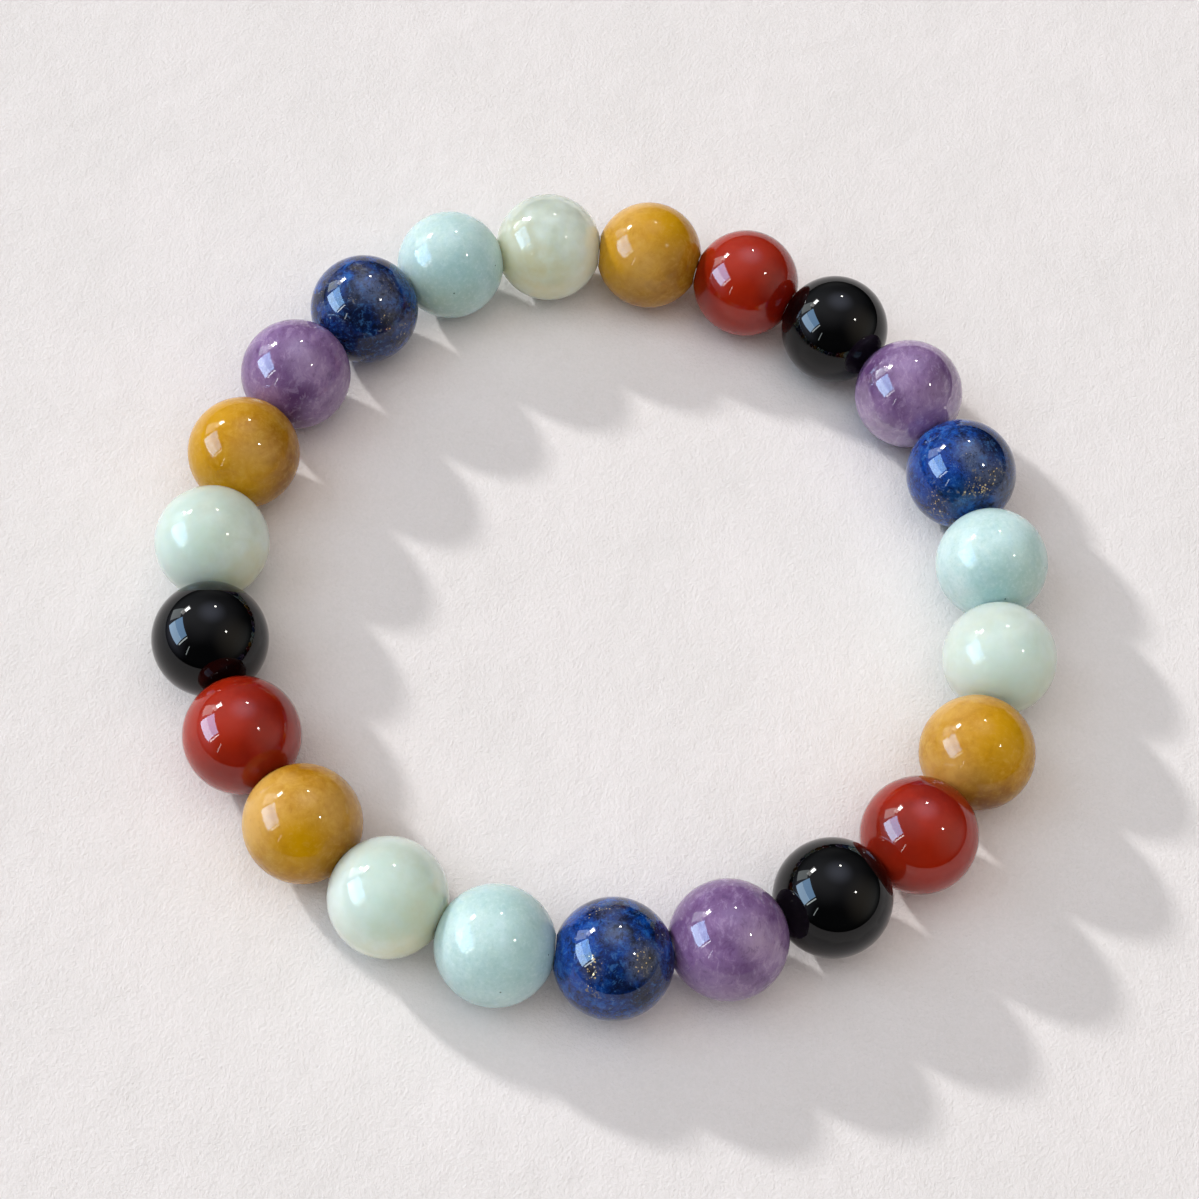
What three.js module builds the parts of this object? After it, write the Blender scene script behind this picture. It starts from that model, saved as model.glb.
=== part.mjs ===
// Beaded bracelet: 23 round stone beads strung side by side on a thin elastic cord,
// closed into a slightly oval loop that lies flat.
//
// Units are millimetres and +Z is up. The loop rests on the plane z = 0, and the middle of
// its outer box is on the Z axis. The beads run clockwise as seen from above.

import * as THREE from 'three';

// Beads. Each has a small flat round each mouth of its bore, which squarely faces the flat
// of the next bead.
const BEAD_DIAMETER = 8;
const BORE_DIAMETER = 1;
const FLAT_DIAMETER = 2.3;
const FLAT_GAP = 0.04; // air between one bead's flat and the next
const SIDES_ROUND_BORE = 20;
const STEPS_FLAT_TO_EQUATOR = 4;

// Elastic cord
const CORD_DIAMETER = 0.6;
const CORD_SIDES = 8;

// The loop's outline: a circle that the soft cord lets go a little out of round. Each row
// is a number of bulges, how far they stand out as a share of the radius, and the
// direction of one of them in degrees.
const BULGES = [
  { count: 2, share: 0.0142, direction: 103.4 },
  { count: 3, share: 0.01, direction: 114.4 },
  { count: 5, share: 0.0082, direction: 49 },
];
const FIRST_BEAD_DIRECTION = 106.8; // degrees

// The seven kinds of stone
const STONES = {
  pale_jade: { color: 0xc2cdbf, roughness: 0.12 },
  yellow_jade: { color: 0xb98a3a, roughness: 0.12 },
  red_jasper: { color: 0x8b2a1c, roughness: 0.12 },
  black_onyx: { color: 0x0e0e0e, roughness: 0.06 },
  amethyst: { color: 0x7a628e, roughness: 0.08 },
  lapis: { color: 0x27407a, roughness: 0.14 },
  amazonite: { color: 0xafcbca, roughness: 0.14 },
};

// The stones in the order they are strung
const STRINGING_ORDER = [
  'pale_jade', 'yellow_jade', 'red_jasper', 'black_onyx', 'amethyst', 'lapis', 'amazonite',
  'pale_jade', 'yellow_jade', 'red_jasper', 'black_onyx', 'amethyst', 'lapis', 'amazonite',
  'pale_jade', 'yellow_jade', 'red_jasper', 'black_onyx',
  'pale_jade', 'yellow_jade', 'amethyst', 'lapis', 'amazonite',
];

const BEAD_RADIUS = BEAD_DIAMETER / 2;
const BORE_RADIUS = BORE_DIAMETER / 2;
const FLAT_RADIUS = FLAT_DIAMETER / 2;
const FLAT_DISTANCE = Math.sqrt(BEAD_RADIUS ** 2 - FLAT_RADIUS ** 2); // from a bead's centre
const BEAD_PITCH = 2 * FLAT_DISTANCE + FLAT_GAP;
const BEAD_COUNT = STRINGING_ORDER.length;

// Searches for the value between low and high at which tooLow(value) turns false.
function bisect(low, high, tooLow) {
  const HALVINGS = 50;
  for (let i = 0; i < HALVINGS; i += 1) {
    const middle = (low + high) / 2;
    if (tooLow(middle)) {
      low = middle;
    } else {
      high = middle;
    }
  }
  return (low + high) / 2;
}

// The point of the outline in one direction, in radians, at bead-centre height.
function outlinePoint(baseRadius, direction) {
  let radius = baseRadius;
  for (const bulge of BULGES) {
    const turn = direction - THREE.MathUtils.degToRad(bulge.direction);
    radius += baseRadius * bulge.share * Math.cos(bulge.count * turn);
  }
  return new THREE.Vector3(radius * Math.cos(direction), radius * Math.sin(direction), BEAD_RADIUS);
}

// Directions of a whole string of beads, one pitch apart in a straight line, and of the
// place where one more bead would sit.
function stepAround(baseRadius) {
  const directions = [THREE.MathUtils.degToRad(FIRST_BEAD_DIRECTION)];
  for (let i = 0; i < BEAD_COUNT; i += 1) {
    const from = directions[i];
    const start = outlinePoint(baseRadius, from);
    const turn = bisect(0, 1, (t) => start.distanceTo(outlinePoint(baseRadius, from - t)) < BEAD_PITCH);
    directions.push(from - turn);
  }
  return directions;
}

// Centres of the beads on the outline of the one size on which the string just closes.
function beadCentres() {
  const roundRadius = BEAD_PITCH / (2 * Math.sin(Math.PI / BEAD_COUNT));
  const baseRadius = bisect(0.8 * roundRadius, 1.2 * roundRadius, (radius) => {
    const directions = stepAround(radius);
    return directions[0] - directions[BEAD_COUNT] > 2 * Math.PI;
  });
  return stepAround(baseRadius).slice(0, BEAD_COUNT).map((d) => outlinePoint(baseRadius, d));
}

// Unit vectors along the bores: each bore runs parallel to the line between the two
// neighbouring beads.
function boreDirections(centres) {
  return centres.map((_, i) => {
    const before = centres[(i + BEAD_COUNT - 1) % BEAD_COUNT];
    const after = centres[(i + 1) % BEAD_COUNT];
    return after.clone().sub(before).normalize();
  });
}

// The ring round a mouth of the bore and the ring round the flat's edge, on the end of a
// bead that faces along the unit vector `facing`. `outward` holds the directions of the
// bore's sides, square to the bore.
function endRings(bore, facing, outward) {
  const mouth = outward.map((side) => {
    const along = (FLAT_DISTANCE - BORE_RADIUS * facing.dot(side)) / facing.dot(bore);
    return side.clone().multiplyScalar(BORE_RADIUS).addScaledVector(bore, along);
  });
  const edge = outward.map((side) => {
    const onFlat = side.clone().projectOnPlane(facing).setLength(FLAT_RADIUS);
    return onFlat.addScaledVector(facing, FLAT_DISTANCE);
  });
  return [mouth, edge];
}

// A point of the ball's surface, a share of the shortest way from one point to another.
function alongBall(from, to, share) {
  const axis = from.clone().cross(to).normalize();
  return from.clone().applyAxisAngle(axis, from.angleTo(to) * share);
}

// A closed surface through rings of points, where the last ring joins on to the first.
function surfaceThrough(rings) {
  const sides = rings[0].length;
  const index = [];
  rings.forEach((_, r) => {
    const here = r * sides;
    const there = ((r + 1) % rings.length) * sides;
    for (let i = 0; i < sides; i += 1) {
      const j = (i + 1) % sides;
      index.push(here + i, here + j, there + j, here + i, there + j, there + i);
    }
  });
  const geometry = new THREE.BufferGeometry().setFromPoints(rings.flat());
  geometry.setIndex(index);
  geometry.computeVertexNormals();
  return geometry;
}

// A drilled ball round the origin, with its bore along the unit vector `bore` and its two
// flats facing along the unit vectors `ahead` and `behind`.
function beadGeometry(bore, ahead, behind) {
  const up = new THREE.Vector3(0, 0, 1);
  const across = bore.clone().cross(up);
  const outward = [];
  for (let i = 0; i < SIDES_ROUND_BORE; i += 1) {
    const turn = (2 * Math.PI * i) / SIDES_ROUND_BORE;
    const side = across.clone().multiplyScalar(Math.cos(turn)).addScaledVector(up, Math.sin(turn));
    outward.push(side);
  }
  const equator = outward.map((side) => side.clone().multiplyScalar(BEAD_RADIUS));
  const [mouthAhead, edgeAhead] = endRings(bore, ahead, outward);
  const [mouthBehind, edgeBehind] = endRings(bore, behind, outward);

  const rings = [mouthAhead];
  for (let i = 0; i < STEPS_FLAT_TO_EQUATOR; i += 1) {
    const share = i / STEPS_FLAT_TO_EQUATOR;
    rings.push(edgeAhead.map((point, side) => alongBall(point, equator[side], share)));
  }
  for (let i = 0; i <= STEPS_FLAT_TO_EQUATOR; i += 1) {
    const share = i / STEPS_FLAT_TO_EQUATOR;
    rings.push(equator.map((point, side) => alongBall(point, edgeBehind[side], share)));
  }
  rings.push(mouthBehind);
  return surfaceThrough(rings);
}

// The cord's centre line: straight through each bore, and bent only between two beads,
// where the axes of their bores meet.
class CordPath extends THREE.Curve {
  constructor(centres, directions) {
    super();
    this.corners = centres.map((centre, i) => {
      const next = (i + 1) % BEAD_COUNT;
      const gap = centres[next].clone().sub(centre);
      const bend = directions[i].clone().cross(directions[next]).z;
      const along = gap.cross(directions[next]).z / bend;
      return centre.clone().addScaledVector(directions[i], along);
    });
  }

  // t runs from 0 to 1 round the loop and goes on past either end.
  getPoint(t) {
    const place = (t - Math.floor(t)) * BEAD_COUNT;
    const corner = Math.floor(place) % BEAD_COUNT;
    const next = (corner + 1) % BEAD_COUNT;
    return this.corners[corner].clone().lerp(this.corners[next], place - Math.floor(place));
  }

  getPointAt(t) {
    return this.getPoint(t);
  }

  // At a corner this is the direction halfway between the two straight runs.
  getTangentAt(t) {
    const A_LITTLE = 1e-4;
    return this.getPoint(t + A_LITTLE).sub(this.getPoint(t - A_LITTLE)).normalize();
  }
}

function beadMesh(index, centres, directions) {
  const stone = STRINGING_ORDER[index];
  const centre = centres[index];
  const ahead = centres[(index + 1) % BEAD_COUNT].clone().sub(centre).normalize();
  const behind = centres[(index + BEAD_COUNT - 1) % BEAD_COUNT].clone().sub(centre).normalize();
  const material = new THREE.MeshStandardMaterial({ ...STONES[stone], metalness: 0 });
  const bead = new THREE.Mesh(beadGeometry(directions[index], ahead, behind), material);
  bead.name = `bead_${String(index + 1).padStart(2, '0')}_${stone}`;
  bead.position.copy(centre);
  return bead;
}

function cordMesh(centres, directions) {
  const path = new CordPath(centres, directions);
  const geometry = new THREE.TubeGeometry(path, BEAD_COUNT, CORD_DIAMETER / 2, CORD_SIDES, true);
  const material = new THREE.MeshStandardMaterial({ color: 0xd8d8d4, roughness: 0.35, metalness: 0 });
  const cord = new THREE.Mesh(geometry, material);
  cord.name = 'elastic_cord';
  return cord;
}

function buildBracelet() {
  const centres = beadCentres();
  const directions = boreDirections(centres);
  const loop = new THREE.Group();
  STRINGING_ORDER.forEach((_, i) => loop.add(beadMesh(i, centres, directions)));
  loop.add(cordMesh(centres, directions));

  const middle = new THREE.Box3().setFromObject(loop, true).getCenter(new THREE.Vector3());
  loop.position.set(-middle.x, -middle.y, 0);

  const bracelet = new THREE.Group();
  bracelet.add(loop);
  return bracelet;
}

export default buildBracelet();
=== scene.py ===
import math

import bmesh
import bpy
from mathutils import Matrix, Vector


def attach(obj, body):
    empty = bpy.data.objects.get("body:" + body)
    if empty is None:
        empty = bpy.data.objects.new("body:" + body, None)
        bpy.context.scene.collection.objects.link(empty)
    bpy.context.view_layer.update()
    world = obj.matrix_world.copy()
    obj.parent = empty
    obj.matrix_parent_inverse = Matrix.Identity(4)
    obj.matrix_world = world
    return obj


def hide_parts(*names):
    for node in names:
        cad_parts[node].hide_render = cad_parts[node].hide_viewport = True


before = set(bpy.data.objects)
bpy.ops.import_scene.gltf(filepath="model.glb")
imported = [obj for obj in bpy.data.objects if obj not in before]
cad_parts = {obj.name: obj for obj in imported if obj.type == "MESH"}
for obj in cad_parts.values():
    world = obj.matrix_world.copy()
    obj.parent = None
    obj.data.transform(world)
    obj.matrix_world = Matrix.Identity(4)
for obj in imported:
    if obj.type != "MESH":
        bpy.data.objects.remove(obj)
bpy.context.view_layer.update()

MM = 0.001
UP = Vector((0.0, 0.0, 1.0))

# Beads and cord. Each bead has a small flat round each mouth of its bore, as in the CAD.
BEAD_RADIUS = 4.0 * MM
BORE_RADIUS = 0.5 * MM
MOUTH_CHAMFER = 0.08 * MM
FLAT_RADIUS = 1.15 * MM
INNER_FLAT_RADIUS = 0.95 * FLAT_RADIUS
FLAT_DISTANCE = math.sqrt(BEAD_RADIUS**2 - FLAT_RADIUS**2)
SIDES_ROUND_BORE = 96
ROWS_FLAT_TO_EQUATOR = 26
CORD_RADIUS = 0.3 * MM
CORD_SIDES = 16
CORD_HALF_STRAIGHT = 0.9 * BEAD_RADIUS  # from a bead's middle to where the cord starts to bend

# Camera, which looks along +Y and down at its target
CAMERA_TARGET = Vector((-0.48, -1.97, 4.0)) * MM
CAMERA_DISTANCE = 168.4 * MM
CAMERA_ELEVATION = 60.54
CAMERA_ROLL = 9.15
CAMERA_LENS = 72.06
CAMERA_NEAREST = 10.0 * MM
SENSOR_WIDTH = 36.0

# Surroundings
FLOOR_HALF_WIDTH = 1.5
PAPER_RELIEF = 0.09 * MM
LAMP_DISTANCE = 2.5

# How each kind of stone is polished: its refractive index and its roughness
STONE_POLISH = (1.45, 0.025)
PALE_STONE_POLISH = (1.36, 0.08)
YELLOW_STONE_POLISH = (1.33, 0.04)
ONYX_POLISH = (1.35, 0.02)

SEED_STEP = 7.3  # from the noise of one bead to that of the next
USUAL_NOISE = (0.3, 0.7)  # the range that noise seldom leaves


def srgb(red, green, blue):
    """A colour given as three numbers up to 255, in Blender's linear values with alpha 1."""
    linear = []
    for channel in (red, green, blue):
        value = channel / 255
        linear.append(value / 12.92 if value <= 0.04045 else ((value + 0.055) / 1.055) ** 2.4)
    return (*linear, 1.0)


def direction(azimuth, elevation):
    """The unit vector that points towards an azimuth and an elevation."""
    a = math.radians(azimuth)
    e = math.radians(elevation)
    return Vector((math.cos(a) * math.cos(e), math.sin(a) * math.cos(e), math.sin(e)))


# ---------------------------------------------------------------- node helpers


class Nodes:
    """A node tree. Its methods add nodes and return their output sockets."""

    def __init__(self, tree):
        self.nodes = tree.nodes
        self.links = tree.links

    def put(self, socket, value):
        """Links a socket to another, or sets it to a plain value."""
        if isinstance(value, bpy.types.NodeSocket):
            self.links.new(value, socket)
        else:
            socket.default_value = value

    def vector(self, operation, first, second=None, scale=None):
        node = self.nodes.new("ShaderNodeVectorMath")
        node.operation = operation
        self.put(node.inputs[0], first)
        if second is not None:
            self.put(node.inputs[1], second)
        if scale is not None:
            self.put(node.inputs["Scale"], scale)
        return node.outputs["Value" if operation == "DOT_PRODUCT" else "Vector"]

    def math(self, operation, first, second=0.0):
        node = self.nodes.new("ShaderNodeMath")
        node.operation = operation
        self.put(node.inputs[0], first)
        self.put(node.inputs[1], second)
        return node.outputs[0]

    def product(self, first, second):
        return self.math("MULTIPLY", first, second)

    def total(self, *terms):
        """The sum of several values."""
        result = terms[0]
        for term in terms[1:]:
            result = self.math("ADD", result, term)
        return result

    def slope(self, value, low, high, start=0.0, end=1.0, shape="LINEAR"):
        """A value that goes evenly from start, at low, to end, at high, and no further."""
        node = self.nodes.new("ShaderNodeMapRange")
        node.interpolation_type = shape
        for index, setting in enumerate((value, low, high, start, end)):
            self.put(node.inputs[index], setting)
        return node.outputs[0]

    def step(self, value, low, high, start=0.0, end=1.0):
        """The same with soft ends: a smooth step from start, at low, to end, at high."""
        return self.slope(value, low, high, start, end, "SMOOTHSTEP")

    def ramp(self, value, *stops):
        """A colour that runs through the stops, which are (place from 0 to 1, colour)."""
        node = self.nodes.new("ShaderNodeValToRGB")
        elements = node.color_ramp.elements
        while len(elements) < len(stops):
            elements.new(0.5)
        for element, (place, colour) in zip(elements, stops):
            element.position = place
            element.color = colour
        self.put(node.inputs[0], value)
        return node.outputs["Color"]

    def mix(self, share, first, second):
        """The first colour where share is 0, and the second where it is 1."""
        node = self.nodes.new("ShaderNodeMix")
        node.data_type = "RGBA"
        self.put(node.inputs["Factor"], share)
        self.put(node.inputs["A"], first)
        self.put(node.inputs["B"], second)
        return node.outputs["Result"]


class Graph(Nodes):
    """One new material and its nodes. Its patterns are fixed to the piece that carries it."""

    def __init__(self, name):
        self.material = bpy.data.materials.new(name)
        self.material.use_nodes = True
        super().__init__(self.material.node_tree)
        self.shader = self.nodes["Principled BSDF"]
        place = self.nodes.new("ShaderNodeTexCoord").outputs["Object"]
        self.mm = self.vector("SCALE", place, scale=1 / MM)
        self.outward = self.vector("NORMALIZE", self.mm)

    def set(self, **values):
        """Sets inputs of the shader. An underscore stands for a space in the input's name."""
        for name, value in values.items():
            self.put(self.shader.inputs[name.replace("_", " ")], value)

    def noise_node(self, size, seed, at=None):
        """A noise texture, in the piece's millimetres unless at gives other positions."""
        node = self.nodes.new("ShaderNodeTexNoise")
        node.noise_dimensions = "4D"
        self.put(node.inputs["Vector"], at or self.mm)
        self.put(node.inputs["W"], seed)
        self.put(node.inputs["Scale"], 1 / size)
        return node

    def noise(self, size, seed, detail=2.0, roughness=0.5, at=None):
        """Cloudy noise around 0.5, with features about size millimetres wide."""
        node = self.noise_node(size, seed, at)
        self.put(node.inputs["Detail"], detail)
        self.put(node.inputs["Roughness"], roughness)
        return node.outputs[0]

    def spread(self, noise, start=0.0, end=1.0):
        """Noise, stretched so that its usual range runs from start to end."""
        return self.step(noise, *USUAL_NOISE, start, end)

    def warped(self, size, reach, seed):
        """The position in millimetres, pushed about by noise, so that patterns wander."""
        node = self.noise_node(size, seed)
        centred = self.vector("SUBTRACT", node.outputs["Color"], (0.5, 0.5, 0.5))
        return self.vector("ADD", self.mm, self.vector("SCALE", centred, scale=2 * reach))

    def cell_node(self, feature, size, at=None):
        """A Voronoi texture, with positions as in noise_node."""
        node = self.nodes.new("ShaderNodeTexVoronoi")
        node.feature = feature
        self.put(node.inputs["Vector"], at or self.mm)
        self.put(node.inputs["Scale"], 1 / size)
        return node

    def cells(self, size, at=None):
        """Cells about size millimetres wide: the distance from the middle of the cell, in
        cell widths, and a number from 0 to 1 that is the cell's own."""
        node = self.cell_node("F1", size, at)
        own = self.vector("DOT_PRODUCT", node.outputs["Color"], (1.0, 0.0, 0.0))
        return node.outputs["Distance"], own

    def cell_edges(self, size, at=None):
        """The distance from the nearest edge between such cells, in cell widths."""
        return self.cell_node("DISTANCE_TO_EDGE", size, at).outputs["Distance"]

    def patch(self, azimuth, elevation, reach, wobble):
        """A soft round patch on the bead, 1 in its middle and 0 beyond reach degrees.
        wobble is noise that makes its edge irregular."""
        facing = self.vector("DOT_PRODUCT", self.outward, direction(azimuth, elevation))
        away = self.math("DIVIDE", self.math("ARCCOSINE", facing), math.radians(reach))
        return self.step(self.math("ADD", away, wobble), 0.0, 1.0, 1.0, 0.0)

    def patches(self, rows, seed):
        """The sum of the patches in rows of (azimuth, elevation, reach, strength)."""
        wobble = self.spread(self.noise(1.4, seed, detail=3.0), -0.15, 0.15)
        masks = [
            self.product(self.patch(azimuth, elevation, reach, wobble), strength)
            for azimuth, elevation, reach, strength in rows
        ]
        return self.total(*masks) if masks else 0.0

    def marked(self, colour, marks, patches, seed):
        """The colour with each of the stone's marks laid over it where the bead has patches. Some
        marks are painted light and shade.
        """
        for number, (mark, tint) in enumerate(marks.items()):
            if mark in patches:
                colour = self.mix(self.patches(patches[mark], seed + number / 7), colour, tint)
        return colour

    def bump(self, height, depth):
        """Raises the surface by the height times depth, in metres."""
        node = self.nodes.new("ShaderNodeBump")
        self.put(node.inputs["Height"], height)
        self.put(node.inputs["Distance"], depth)
        self.set(Normal=node.outputs["Normal"])


def polish(graph, seed, kind=STONE_POLISH):
    """The gloss of a tumbled and polished stone, with faint unevenness in the polish."""
    ior, roughness = kind
    smears = graph.noise(2.2, seed + 40, detail=4.0)
    graph.set(IOR=ior, Roughness=graph.spread(smears, 0.6 * roughness, 1.4 * roughness))


def glow(graph, weight, depth, onward):
    """Light that spreads under the surface, depth millimetres deep, as in cloudy stone.
    onward is near 1 if the light mostly keeps its way through the stone."""
    graph.set(Subsurface_Weight=weight, Subsurface_Scale=depth * MM)
    graph.set(Subsurface_Radius=(1.0, 0.9, 0.75), Subsurface_Anisotropy=onward)


# ---------------------------------------------------------------- the seven stones

# Each stone has its own marks, which are tints that some of its beads show in places. On the
# jade and the red jasper some marks are also painted light and shade, as their lists say. A bead
# lists its patches of each mark as rows of (azimuth, elevation, reach, strength).

JADE_MARKS = {
    # This mark is painted shade, laid on the top of a bead where the sun and the lamps light it
    # most.
    "grey": srgb(170, 180, 168),
    # This yellow-green mark is painted warm shade, laid low on a bead near the paper.
    "olive_painted_shade": srgb(204, 198, 150),
    "cream": srgb(226, 220, 192),
    # This mark is painted light: a glow through the stone, laid low on a bead, a little left of the
    # side that faces the camera.
    "white": srgb(226, 236, 228),
    "mint": srgb(198, 226, 218),
}


def pale_jade(graph, seed, patches):
    """Pale green stone with faint mist in it, which light goes deep into. Some of its marks are
    painted light and shade, as the list of jade marks says.
    """
    clouds = graph.noise(4.5, seed)
    mist = graph.noise(0.7, seed + 1, detail=4.0, roughness=0.6, at=graph.warped(1.5, 0.5, seed))
    tone = graph.total(
        graph.spread(clouds, 0.25, 0.75),
        graph.spread(mist, -0.15, 0.15),
    )
    colour = graph.ramp(
        tone,
        (0.0, srgb(198, 211, 194)),
        (0.5, srgb(212, 227, 217)),
        (1.0, srgb(222, 236, 230)),
    )
    graph.set(Base_Color=graph.marked(colour, JADE_MARKS, patches, seed + 2))
    polish(graph, seed, PALE_STONE_POLISH)
    glow(graph, weight=1.0, depth=8.0, onward=0.8)
    graph.set(Transmission_Weight=0.1)


YELLOW_MARKS = {
    "tan": srgb(218, 174, 96),
    "gold": srgb(204, 152, 0),
    "brown": srgb(128, 78, 8),
}


def yellow_jade(graph, seed, patches):
    """Cloudy ochre stone, finely mottled lighter and darker."""
    drift = graph.warped(1.6, 0.7, seed + 3)
    clouds = graph.noise(2.6, seed, detail=3.0, at=drift)
    grain = graph.noise(0.45, seed + 1, detail=5.0, roughness=0.7, at=drift)
    tone = graph.total(
        graph.spread(clouds, 0.35, 0.65),
        graph.step(grain, 0.35, 0.65, -0.13, 0.13),
    )
    colour = graph.ramp(
        tone,
        (0.0, srgb(158, 102, 6)),
        (0.4, srgb(184, 130, 16)),
        (0.7, srgb(200, 154, 48)),
        (1.0, srgb(220, 184, 100)),
    )
    marked = graph.marked(colour, YELLOW_MARKS, patches, seed + 2)
    mottled = graph.mix(graph.step(grain, 0.5, 0.68, 0.0, 0.16), marked, srgb(224, 184, 98))
    veined = graph.mix(graph.step(grain, 0.46, 0.32, 0.0, 0.14), mottled, srgb(140, 86, 8))
    graph.set(Base_Color=veined)
    polish(graph, seed, YELLOW_STONE_POLISH)
    glow(graph, weight=0.25, depth=0.8, onward=0.3)


RED_MARKS = {
    # This tone lies on the middle of a bead, on the side that faces the camera, and is partly
    # painted light there.
    "orange_tone_and_painted_light": srgb(174, 46, 14),
    # This tone is the stone's own, laid round the top and the sides of a bead as the camera sees
    # it, and partly painted shade there.
    "dark": srgb(112, 14, 6),
    # This tone is the stone's own, laid on the left side and low at the front of a bead, and partly
    # painted shade there.
    "brown": srgb(124, 36, 24),
}


def red_jasper(graph, seed, patches):
    """Brick-red stone, nearly even, with marks that are partly painted light in the middle of a
    bead and partly painted shade round it.
    """
    clouds = graph.noise(3.0, seed, detail=3.0)
    grain = graph.noise(0.35, seed + 1, detail=3.0, roughness=0.6)
    tone = graph.total(
        graph.spread(clouds, 0.3, 0.7),
        graph.step(grain, 0.25, 0.75, -0.08, 0.08),
    )
    colour = graph.ramp(
        tone,
        (0.0, srgb(132, 24, 6)),
        (0.5, srgb(160, 37, 12)),
        (1.0, srgb(170, 50, 24)),
    )
    graph.set(Base_Color=graph.marked(colour, RED_MARKS, patches, seed + 2))
    polish(graph, seed)
    glow(graph, weight=0.4, depth=1.5, onward=0.5)


def black_onyx(graph, seed, patches):
    """Black stone without marks."""
    clouds = graph.noise(2.5, seed, detail=3.0)
    graph.set(Base_Color=graph.ramp(clouds, (0.3, srgb(2, 2, 3)), (0.7, srgb(6, 6, 6))))
    polish(graph, seed, ONYX_POLISH)


AMETHYST_MARKS = {
    "veil": srgb(170, 146, 184),
    "pale": srgb(176, 154, 184),
    "dark": srgb(96, 66, 112),
}


def amethyst(graph, seed, patches):
    """Purple stone with pale veils, dark depths between them, and broken pale cracks."""
    drift = graph.warped(1.2, 0.5, seed + 3)
    clouds = graph.noise(2.6, seed, detail=3.0, at=drift)
    fibres = graph.vector("MULTIPLY", drift, (1.0, 0.5, 0.8))
    veils = graph.noise(0.5, seed + 4, detail=6.0, roughness=0.7, at=fibres)
    edges = graph.cell_edges(3.4, at=graph.warped(1.2, 0.35, seed + 5))
    cracks = graph.step(edges, 0.0, 0.015, 0.25, 0.0)
    broken_cracks = graph.product(cracks, graph.step(veils, 0.45, 0.55))
    colour = graph.ramp(
        graph.total(graph.spread(clouds, 0.25, 0.6), broken_cracks),
        (0.0, srgb(106, 76, 124)),
        (0.4, srgb(138, 108, 156)),
        (0.7, srgb(160, 132, 178)),
        (1.0, srgb(198, 182, 210)),
    )
    marked = graph.marked(colour, AMETHYST_MARKS, patches, seed + 2)
    misty = graph.mix(graph.step(veils, 0.5, 0.62, 0.0, 0.4), marked, srgb(186, 166, 200))
    shaded = graph.mix(graph.step(veils, 0.48, 0.34, 0.0, 0.45), misty, srgb(92, 62, 112))
    graph.set(Base_Color=shaded)
    polish(graph, seed)
    glow(graph, weight=0.4, depth=0.8, onward=0.5)
    graph.set(Transmission_Weight=0.1)


LAPIS_MARKS = {
    "cobalt": srgb(8, 60, 150),
    "navy": srgb(12, 24, 58),
    "teal": srgb(26, 70, 104),
    "grey": srgb(80, 96, 128),
    "ochre": srgb(92, 84, 60),
}


def blue_rock(graph, seed, patches, drift, streaks):
    """The colour of lapis: blue, with grey clouds, the marks, and dark and pale streaks."""
    clouds = graph.noise(1.4, seed, detail=6.0, roughness=0.7, at=drift)
    grey = graph.noise(1.3, seed + 6, detail=6.0, roughness=0.75, at=drift)
    blue = graph.ramp(
        graph.step(clouds, 0.32, 0.68),
        (0.0, srgb(2, 12, 38)),
        (0.35, srgb(2, 34, 92)),
        (0.7, srgb(2, 66, 154)),
        (1.0, srgb(34, 104, 182)),
    )
    clouded = graph.mix(graph.step(grey, 0.54, 0.68, 0.0, 0.5), blue, srgb(84, 104, 138))
    marked = graph.marked(clouded, LAPIS_MARKS, patches, seed + 2)
    dark = graph.mix(graph.step(streaks, 0.48, 0.4, 0.0, 0.75), marked, srgb(4, 14, 36))
    return graph.mix(graph.step(streaks, 0.53, 0.61, 0.0, 0.45), dark, srgb(66, 120, 180))


def pyrite_flecks(graph, seed, gathered):
    """A mask of small flecks, more and larger where the pyrite has gathered."""
    largest = 0.46  # radius in cell widths, so that flecks hardly run together
    distance, own = graph.cells(0.2, at=graph.warped(0.14, 0.09, seed + 8))
    spare = graph.math("SUBTRACT", graph.math("ADD", gathered, own), 1.0)
    size = graph.math("MINIMUM", graph.product(spare, 0.5), largest)
    return graph.step(graph.math("SUBTRACT", size, distance), 0.0, 0.05)


def lapis(graph, seed, patches):
    """Blue rock that turns dull, with sandy seams, where golden pyrite has gathered in it."""
    drift = graph.warped(0.9, 0.4, seed + 3)
    streaks = graph.noise(0.35, seed + 5, detail=5.0, roughness=0.75, at=drift)
    gathered = graph.total(
        graph.step(graph.noise(1.2, seed + 7, detail=4.0), 0.5, 0.72, 0.06, 0.4),
        graph.patches(patches.get("pyrite", ()), seed + 9),
    )
    blue = blue_rock(graph, seed, patches, drift, streaks)
    dull = graph.mix(graph.product(gathered, 0.55), blue, srgb(28, 32, 42))
    seams = graph.product(graph.step(streaks, 0.55, 0.62), graph.step(gathered, 0.1, 0.6))
    rock = graph.mix(graph.product(seams, 0.7), dull, srgb(136, 122, 88))
    flecks = pyrite_flecks(graph, seed, gathered)
    gold = graph.ramp(streaks, (0.35, srgb(176, 150, 96)), (0.65, srgb(246, 230, 190)))
    graph.set(Base_Color=graph.mix(flecks, rock, gold), Metallic=graph.product(flecks, 0.3))
    polish(graph, seed)


AMAZONITE_MARKS = {
    "teal": srgb(146, 190, 192),
    "green": srgb(172, 196, 182),
    "white": srgb(214, 228, 228),
}


def dark_specks(graph):
    """A mask of a few small specks."""
    distance, own = graph.cells(0.9)
    size = graph.step(own, 0.8, 0.85, 0.0, 0.09)
    return graph.step(graph.math("SUBTRACT", size, distance), 0.0, 0.03, 0.0, 0.8)


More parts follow.
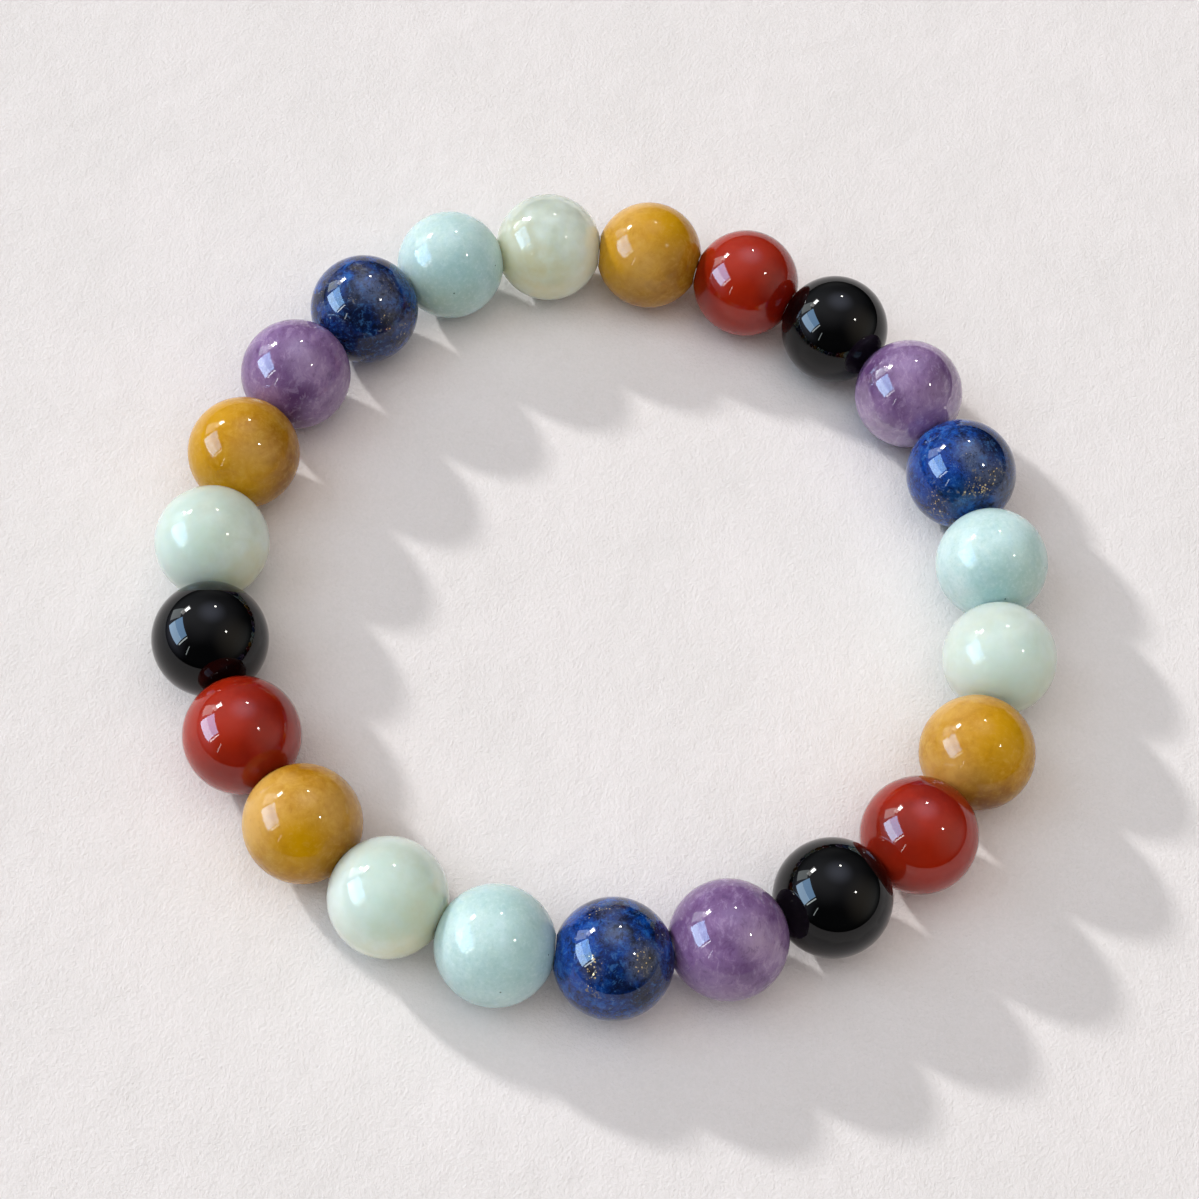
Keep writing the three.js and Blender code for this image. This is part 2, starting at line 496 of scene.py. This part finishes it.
def amazonite(graph, seed, patches):
    """Pale aqua stone, finely mottled, with a few dark specks."""
    clouds = graph.noise(3.0, seed, detail=3.0)
    mottling = graph.noise(0.3, seed + 1, detail=6.0, roughness=0.75)
    colour = graph.ramp(
        graph.spread(clouds),
        (0.0, srgb(180, 210, 209)),
        (1.0, srgb(198, 223, 223)),
    )
    marked = graph.marked(colour, AMAZONITE_MARKS, patches, seed + 2)
    milky = graph.mix(graph.step(mottling, 0.5, 0.64, 0.0, 0.26), marked, srgb(232, 244, 244))
    mottled = graph.mix(graph.step(mottling, 0.48, 0.38, 0.0, 0.24), milky, srgb(146, 188, 186))
    graph.set(Base_Color=graph.mix(dark_specks(graph), mottled, srgb(50, 62, 60)))
    polish(graph, seed, PALE_STONE_POLISH)
    glow(graph, weight=0.8, depth=3.0, onward=0.8)


# The beads in the order they are strung. Each has its stone and its patches, by mark. On the
# jade and red jasper beads some patches are painted light and shade.
BEADS = [
    (
        pale_jade,
        {
            "grey": [(125, 50, 90, 0.9)],
            "olive_painted_shade": [(225, 5, 75, 0.7), (290, 0, 60, 0.5)],
            "cream": [(345, 20, 45, 0.25)],
        },
    ),
    (
        yellow_jade,
        {
            "tan": [(260, 40, 60, 0.8), (130, 40, 60, 0.9)],
            "gold": [(0, 75, 50, 1.0), (220, 20, 50, 0.8)],
            "brown": [(325, 20, 55, 0.6), (270, -10, 60, 0.5)],
        },
    ),
    (
        red_jasper,
        {
            "orange_tone_and_painted_light": [(255, 60, 60, 0.6)],
            "dark": [(320, 25, 50, 0.8), (205, 20, 45, 0.6), (80, 30, 50, 0.5)],
        },
    ),
    (black_onyx, {}),
    (
        amethyst,
        {
            "veil": [(205, 70, 25, 0.5), (255, 60, 22, 0.6), (275, 40, 25, 0.5)],
            "pale": [(310, 50, 35, 0.4)],
            "dark": [(355, 60, 40, 0.6), (245, 40, 22, 0.6), (185, 30, 45, 0.9)],
        },
    ),
    (
        lapis,
        {
            "cobalt": [(220, 30, 70, 0.7), (230, 60, 45, 0.6)],
            "navy": [(15, 65, 40, 0.7)],
            "teal": [(265, 30, 35, 0.7)],
            "grey": [(250, 80, 25, 0.7), (295, 60, 26, 0.7), (325, 25, 45, 0.7)],
            "pyrite": [
                (260, 70, 18, 0.5),
                (290, 45, 22, 0.9),
                (320, 50, 22, 0.7),
                (272, 40, 14, 0.8),
                (245, 20, 18, 0.7),
                (250, 5, 20, 0.8),
            ],
        },
    ),
    (
        amazonite,
        {
            "white": [(185, 45, 70, 0.4), (240, 0, 50, 0.6)],
            "teal": [(265, 30, 50, 0.6)],
            "green": [(320, 30, 60, 0.5)],
        },
    ),
    (
        pale_jade,
        {
            "grey": [(140, 50, 70, 0.4)],
            "mint": [(270, 45, 90, 0.6)],
            "white": [(235, 5, 60, 0.6)],
            "olive_painted_shade": [(310, 5, 70, 0.4)],
        },
    ),
    (
        yellow_jade,
        {
            "tan": [(235, 25, 60, 0.7), (140, 40, 60, 0.7)],
            "gold": [(350, 70, 60, 1.0)],
            "brown": [(275, 10, 45, 0.8), (300, -20, 60, 0.6)],
        },
    ),
    (
        red_jasper,
        {
            "orange_tone_and_painted_light": [(280, 60, 50, 0.5)],
            "brown": [(210, 35, 60, 0.6)],
            "dark": [(200, 50, 40, 0.4), (80, 40, 60, 0.8)],
        },
    ),
    (black_onyx, {}),
    (
        amethyst,
        {
            "pale": [(330, 65, 35, 0.5), (335, 45, 35, 0.6), (280, 10, 40, 0.5)],
            "dark": [(250, 65, 22, 0.4), (290, 35, 28, 0.5), (190, 25, 45, 0.6)],
        },
    ),
    (
        lapis,
        {
            "cobalt": [(200, 35, 70, 0.7)],
            "navy": [(315, 25, 55, 0.7), (275, 50, 25, 0.6)],
            "grey": [(330, 55, 28, 0.7), (140, 85, 20, 0.6)],
            "ochre": [(240, 50, 18, 0.5), (325, 55, 24, 0.4), (110, 60, 20, 0.5)],
            "pyrite": [
                (240, 50, 18, 0.9),
                (230, 60, 12, 0.7),
                (250, 30, 16, 0.6),
                (325, 55, 22, 0.6),
                (355, 70, 16, 0.5),
                (130, 50, 20, 0.5),
                (100, 55, 18, 0.5),
            ],
        },
    ),
    (
        amazonite,
        {"white": [(190, 60, 55, 0.3)], "teal": [(345, 25, 55, 0.5)]},
    ),
    (
        pale_jade,
        {
            "grey": [(110, 55, 60, 0.3)],
            "mint": [(250, 65, 110, 0.6)],
            "olive_painted_shade": [(315, 10, 75, 0.9), (250, 0, 60, 0.3)],
        },
    ),
    (
        yellow_jade,
        {
            "tan": [(190, 40, 70, 0.9), (5, 50, 50, 0.6)],
            "gold": [(285, 45, 45, 1.0)],
            "brown": [(100, 45, 22, 0.4), (325, 15, 55, 0.6)],
        },
    ),
    (
        red_jasper,
        {
            "orange_tone_and_painted_light": [(250, 65, 50, 0.7)],
            "brown": [(265, 20, 50, 0.5)],
            "dark": [(310, 25, 50, 0.6), (60, 40, 60, 0.5)],
        },
    ),
    (black_onyx, {}),
    (
        pale_jade,
        {
            "grey": [(100, 60, 80, 0.6)],
            "white": [(235, 10, 60, 0.6)],
            "mint": [(220, 40, 90, 0.7)],
            "olive_painted_shade": [(320, 0, 60, 0.6)],
        },
    ),
    (
        yellow_jade,
        {
            "tan": [(305, 50, 45, 0.6), (150, 30, 60, 0.8)],
            "gold": [(170, 60, 50, 0.8), (225, 25, 50, 0.9), (290, 20, 40, 0.7)],
            "brown": [(5, 40, 50, 0.45), (330, 0, 50, 0.7)],
        },
    ),
    (
        amethyst,
        {
            "veil": [(290, 80, 35, 0.5), (305, 60, 30, 0.6)],
            "pale": [(330, 15, 45, 0.5)],
            "dark": [(290, 30, 26, 0.7), (270, 0, 45, 0.8), (255, 60, 30, 0.4)],
        },
    ),
    (
        lapis,
        {
            "cobalt": [(250, 50, 35, 0.3)],
            "navy": [(280, 15, 70, 0.9), (30, 45, 50, 0.6), (270, 60, 40, 0.6)],
            "grey": [(280, 80, 28, 0.7), (325, 55, 26, 0.6)],
            "ochre": [(175, 50, 22, 0.5), (120, 75, 18, 0.6), (0, 65, 22, 0.5), (325, 30, 22, 0.4)],
            "pyrite": [
                (175, 50, 20, 0.5),
                (120, 75, 16, 0.5),
                (0, 65, 20, 0.5),
                (260, 65, 12, 0.7),
                (310, 35, 20, 0.8),
                (330, 25, 16, 0.6),
                (320, 5, 20, 0.6),
                (205, 35, 18, 0.4),
            ],
        },
    ),
    (
        amazonite,
        {
            "white": [(200, 65, 55, 0.4)],
            "teal": [(300, 40, 50, 0.6)],
            "green": [(280, 0, 60, 0.6), (245, 5, 45, 0.5)],
        },
    ),
]


# ---------------------------------------------------------------- cord and paper


def milky_elastic(graph):
    """Satin cord of fine strands, greyed by the little light inside the bores."""
    strands = graph.noise(0.3, 1.0)
    graph.set(Base_Color=graph.ramp(strands, (0.3, srgb(96, 94, 90)), (0.7, srgb(140, 138, 132))))
    graph.set(Roughness=graph.spread(strands, 0.35, 0.5))


def white_paper(graph):
    """Matt paper with a fine grain and faint waves."""
    grain = graph.noise(0.22, 3.0, detail=3.0, roughness=0.65)
    waves = graph.noise(2.5, 5.0)
    tone = graph.total(
        graph.noise(8.0, 6.0, detail=3.0),
        graph.product(graph.spread(grain), 0.4),
    )
    graph.set(Base_Color=graph.ramp(tone, (0.3, srgb(230, 228, 226)), (1.0, srgb(238, 235, 234))))
    graph.set(Roughness=graph.spread(grain, 0.85, 0.95), Specular_IOR_Level=0.1)
    graph.bump(graph.total(grain, graph.product(waves, 1.5)), PAPER_RELIEF)


# ---------------------------------------------------------------- meshes


def new_object(name, data):
    """A new object in the scene that holds a mesh, a light or a camera."""
    thing = bpy.data.objects.new(name, data)
    bpy.context.scene.collection.objects.link(thing)
    return thing


def mesh_object(name, mesh_data):
    """A new smooth-shaded object made from a bmesh."""
    bmesh.ops.recalc_face_normals(mesh_data, faces=mesh_data.faces)
    mesh = bpy.data.meshes.new(name)
    mesh_data.to_mesh(mesh)
    mesh_data.free()
    mesh.polygons.foreach_set("use_smooth", [True] * len(mesh.polygons))
    return new_object(name, mesh)


def closed_tube(name, rings):
    """An object whose surface runs through rings of points, and from the last to the first."""
    mesh_data = bmesh.new()
    corners = [[mesh_data.verts.new(point) for point in ring] for ring in rings]
    for ring, following in zip(corners, corners[1:] + corners[:1]):
        for i in range(len(ring)):
            j = (i + 1) % len(ring)
            mesh_data.faces.new((ring[i], ring[j], following[j], following[i]))
    return mesh_object(name, mesh_data)


def sides_round(bore, count):
    """Unit vectors square to a level bore, evenly round it."""
    across = Vector((-bore.y, bore.x, 0.0))
    turns = [2 * math.pi * i / count for i in range(count)]
    return [across * math.cos(turn) + UP * math.sin(turn) for turn in turns]


def end_rings(bore, facing, outward):
    """The rings on the end of a bead that faces along facing: deep in the bore, round its
    mouth, just inside the flat's edge, and round that edge."""
    rings = []
    for radius, depth in ((BORE_RADIUS, MOUTH_CHAMFER), (BORE_RADIUS + MOUTH_CHAMFER, 0.0)):
        distance = FLAT_DISTANCE - depth
        reach = [(distance - radius * facing.dot(side)) / facing.dot(bore) for side in outward]
        rings.append([side * radius + bore * along for side, along in zip(outward, reach)])
    on_flat = [(side - facing * side.dot(facing)).normalized() for side in outward]
    for radius in (INNER_FLAT_RADIUS, FLAT_RADIUS):
        rings.append([side * radius + facing * FLAT_DISTANCE for side in on_flat])
    return rings


def ball_ring(share, outward, edge_ahead, edge_behind):
    """A ring on the ball. share is 0 at the edge of the flat ahead, 1 at the equator and 2
    at the edge of the flat behind."""
    ring = []
    for side, first, last in zip(outward, edge_ahead, edge_behind):
        if share <= 1:
            point = first.normalized().slerp(side, share)
        else:
            point = side.slerp(last.normalized(), share - 1)
        ring.append(point * BEAD_RADIUS)
    return ring


def build_bead(name, centre, bore, ahead, behind):
    """A drilled ball. Its bore runs along bore, and its two flats face ahead and behind."""
    outward = sides_round(bore, SIDES_ROUND_BORE)
    rings_ahead = end_rings(bore, ahead, outward)
    rings_behind = end_rings(bore, behind, outward)
    rings = list(rings_ahead)
    for row in range(1, 2 * ROWS_FLAT_TO_EQUATOR):
        share = row / ROWS_FLAT_TO_EQUATOR
        rings.append(ball_ring(share, outward, rings_ahead[-1], rings_behind[-1]))
    rings += reversed(rings_behind)
    bead = closed_tube(name, rings)
    bead.location = centre
    return bead


def build_cord(name, centres, bores):
    """A thin closed tube that runs straight through each bore and bends between the beads."""
    rings = []
    for centre, bore in zip(centres, bores):
        for along in (-CORD_HALF_STRAIGHT, 0.0, CORD_HALF_STRAIGHT):
            middle = centre + bore * along
            rings.append([middle + side * CORD_RADIUS for side in sides_round(bore, CORD_SIDES)])
    return closed_tube(name, rings)


# ---------------------------------------------------------------- the bracelet


def bead_centre(node):
    """The centre of a CAD bead, which lies straight below its highest corner."""
    top = max((vertex.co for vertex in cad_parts[node].data.vertices), key=lambda co: co.z)
    return Vector((top.x, top.y, BEAD_RADIUS))


def hand_over(piece, graph, node):
    """Gives a piece its material, fixes it to the part and puts it in place of a CAD node."""
    piece.data.materials.append(graph.material)
    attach(piece, "root")
    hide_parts(node)


def build_bracelet():
    count = len(BEADS)
    nodes = [f"bead_{i + 1:02d}_{stone.__name__}" for i, (stone, _) in enumerate(BEADS)]
    centres = [bead_centre(node) for node in nodes]
    bores = [(centres[(i + 1) % count] - centres[i - 1]).normalized() for i in range(count)]
    for i, (stone, patches) in enumerate(BEADS):
        kind = stone.__name__
        number = f"{i + 1:02d}"
        ahead = (centres[(i + 1) % count] - centres[i]).normalized()
        behind = (centres[i - 1] - centres[i]).normalized()
        bead = build_bead(f"{kind}_bead_{number}", centres[i], bores[i], ahead, behind)
        graph = Graph(f"{kind} {number}")
        stone(graph, SEED_STEP * (i + 1), patches)
        hand_over(bead, graph, nodes[i])
    cord = build_cord("stretch_cord", centres, bores)
    graph = Graph("elastic cord")
    milky_elastic(graph)
    hand_over(cord, graph, "elastic_cord")


def build_paper():
    size = FLOOR_HALF_WIDTH
    mesh_data = bmesh.new()
    corners = [(-size, -size, 0.0), (size, -size, 0.0), (size, size, 0.0), (-size, size, 0.0)]
    mesh_data.faces.new([mesh_data.verts.new(corner) for corner in corners])
    paper = mesh_object("paper", mesh_data)
    graph = Graph("white paper")
    white_paper(graph)
    paper.data.materials.append(graph.material)


# ---------------------------------------------------------------- light and camera

# The sun lights the scene and casts the shadows, but the stone does not reflect it.
SUN_DIRECTION = (148.5, 25.5)
SUN_STRENGTH = 2.12
SUN_WIDTH = 4.0  # as an angle in degrees, for soft edges on the shadows
SUN_COLOUR = (1.0, 0.98, 0.97)

# Each lamp below has a name, azimuth, elevation, width, height, roll, radiance and colour.
# The first one only lights the scene, and the others are only seen, as reflections in the
# polished stone.
WINDOW_FILL = ("window_fill", 187.0, 50.0, 36.0, 32.0, 12.0, 2.0, (0.63, 0.82, 1.0))
REFLECTED_LAMPS = [
    ("bright_window", 146.0, 35.0, 8.0, 6.0, -19.0, 60.0, (1.0, 1.0, 1.0)),
    ("window_haze", 148.5, 33.0, 16.0, 9.0, -19.0, 6.0, (1.0, 0.98, 0.95)),
    ("sky_window_low", 191.3, 20.9, 37.0, 14.6, 13.0, 16.5, (0.48, 0.72, 1.0)),
    ("sky_window_high", 187.7, 35.1, 37.0, 14.6, 13.0, 12.5, (0.34, 0.62, 1.0)),
    ("grey_window", 158.0, 19.0, 16.0, 21.0, 11.0, 3.6, (0.9, 1.0, 1.0)),
    ("window_edge", 214.7, 31.8, 2.2, 22.4, -3.0, 15.0, (0.9, 1.0, 1.0)),
    ("door_edge", 234.9, 25.5, 1.5, 17.6, 5.0, 9.0, (0.9, 1.0, 1.0)),
    ("spot_behind", 86.5, 49.0, 3.0, 3.0, 0.0, 80.0, (1.0, 0.97, 0.9)),
    ("spot_right", 354.0, 54.5, 3.0, 3.0, 0.0, 80.0, (1.0, 0.97, 0.9)),
]

# What the polished stone reflects of the dim room: soft glows on a dark ground, as
# azimuth, elevation, reach in degrees and colour. A higher power draws each glow in.
ROOM_GLOWS = [
    (85.0, 70.0, 70.0, (0.42, 0.42, 0.46)),
    (180.0, 60.0, 50.0, (0.3, 0.3, 0.32)),
    (92.0, 62.0, 30.0, (1.2, 1.3, 1.7)),
    (350.0, 35.0, 50.0, (0.58, 0.5, 0.4)),
    (145.0, 30.0, 50.0, (0.35, 0.37, 0.4)),
    (190.0, 5.0, 50.0, (0.9, 0.95, 1.2)),
    (100.0, 0.0, 30.0, (0.25, 0.25, 0.25)),
    (0.0, 5.0, 40.0, (0.23, 0.27, 0.3)),
]
ROOM_DARKNESS = (0.038, 0.042, 0.045)
GLOW_POWER = 2.0

# Below this elevation in degrees the reflected room darkens, to this share at the horizon.
SHADE_HEIGHT = 12.0
SHADE_SHARE = 0.15

# Soft light on the paper and the stone, which is strongest from one direction, nearly
# overhead. A higher power draws it in round that direction.
ROOM_FILL = (0.64, 0.59, 0.57, 1.0)
FILL_DIRECTION = (-75.0, 80.0)
FILL_FAR_OFF = 0.09
FILL_STRONGEST = 2.8
FILL_POWER = 4.0


def add_lamp(name, azimuth, elevation, width, height, roll, radiance, colour):
    """A flat lamp that faces the bracelet. Its width, height and roll are angles as seen
    from the bracelet, in degrees, and radiance is how bright it looks, whatever its size."""
    lamp = bpy.data.lights.new(name, "AREA")
    lamp.shape = "RECTANGLE"
    lamp.size = 2 * LAMP_DISTANCE * math.tan(math.radians(width / 2))
    lamp.size_y = 2 * LAMP_DISTANCE * math.tan(math.radians(height / 2))
    lamp.energy = radiance * math.pi * lamp.size * lamp.size_y
    lamp.color = colour
    thing = new_object(name, lamp)
    towards = direction(azimuth, elevation)
    sideways = UP.cross(towards).normalized()
    axes = Matrix((sideways, towards.cross(sideways), towards)).transposed()
    turned = axes @ Matrix.Rotation(math.radians(roll), 3, "Z")
    thing.matrix_world = Matrix.Translation(towards * LAMP_DISTANCE) @ turned.to_4x4()
    return thing


def add_sun():
    sun = bpy.data.lights.new("key", "SUN")
    sun.energy = SUN_STRENGTH
    sun.angle = math.radians(SUN_WIDTH)
    sun.color = SUN_COLOUR
    key = new_object("key", sun)
    key.rotation_mode = "QUATERNION"
    key.rotation_quaternion = direction(*SUN_DIRECTION).to_track_quat("Z", "Y")
    key.visible_glossy = False


def reflected_room(room, looking):
    """The colour of the dim room in one direction, with its glows and its shade low down."""
    colour = ROOM_DARKNESS
    for azimuth, elevation, reach, tint in ROOM_GLOWS:
        facing = room.vector("DOT_PRODUCT", looking, direction(azimuth, elevation))
        near = room.slope(facing, math.cos(math.radians(reach)), 1.0)
        strength = room.math("POWER", near, GLOW_POWER)
        colour = room.vector("ADD", colour, room.vector("SCALE", tint, scale=strength))
    height = room.vector("DOT_PRODUCT", looking, UP)
    shade = room.slope(height, 0.0, math.sin(math.radians(SHADE_HEIGHT)), SHADE_SHARE, 1.0)
    return room.vector("SCALE", colour, scale=shade)


def fill_strength(room, looking):
    """The strength of the soft light from one direction."""
    facing = room.vector("DOT_PRODUCT", looking, direction(*FILL_DIRECTION))
    gathered = room.math("POWER", room.math("MAXIMUM", facing, 0.0), FILL_POWER)
    return room.slope(gathered, 0.0, 1.0, FILL_FAR_OFF, FILL_STRONGEST)


def build_room():
    """Soft light all round, in whose place the polished stone reflects a dim room."""
    world = bpy.data.worlds.new("room")
    world.use_nodes = True
    room = Nodes(world.node_tree)
    looking = room.nodes.new("ShaderNodeTexCoord").outputs["Generated"]
    soft = room.nodes["Background"]
    room.put(soft.inputs["Color"], ROOM_FILL)
    room.put(soft.inputs["Strength"], fill_strength(room, looking))
    dim = room.nodes.new("ShaderNodeBackground")
    room.put(dim.inputs["Color"], reflected_room(room, looking))
    choice = room.nodes.new("ShaderNodeMixShader")
    room.put(choice.inputs[0], room.nodes.new("ShaderNodeLightPath").outputs["Is Glossy Ray"])
    room.put(choice.inputs[1], soft.outputs[0])
    room.put(choice.inputs[2], dim.outputs[0])
    room.put(room.nodes["World Output"].inputs["Surface"], choice.outputs[0])
    return world


def light_scene():
    for row in REFLECTED_LAMPS:
        lamp = add_lamp(*row)
        lamp.visible_diffuse = False
    add_sun()
    window = add_lamp(*WINDOW_FILL)
    window.visible_glossy = False
    bpy.context.scene.world = build_room()


def place_camera():
    elevation = math.radians(CAMERA_ELEVATION)
    roll = math.radians(CAMERA_ROLL)
    back = Vector((0.0, -math.cos(elevation), math.sin(elevation)))
    level_right = Vector((1.0, 0.0, 0.0))
    level_up = back.cross(level_right)
    right = math.cos(roll) * level_right + math.sin(roll) * level_up
    up = back.cross(right)
    data = bpy.data.cameras.new("camera")
    data.lens = CAMERA_LENS
    data.sensor_width = SENSOR_WIDTH
    data.clip_start = CAMERA_NEAREST
    camera = new_object("camera", data)
    turned = Matrix((right, up, back)).transposed().to_4x4()
    camera.matrix_world = Matrix.Translation(CAMERA_TARGET + back * CAMERA_DISTANCE) @ turned
    bpy.context.scene.camera = camera


build_bracelet()
build_paper()
light_scene()
place_camera()
bpy.context.scene.view_settings.view_transform = "Standard"
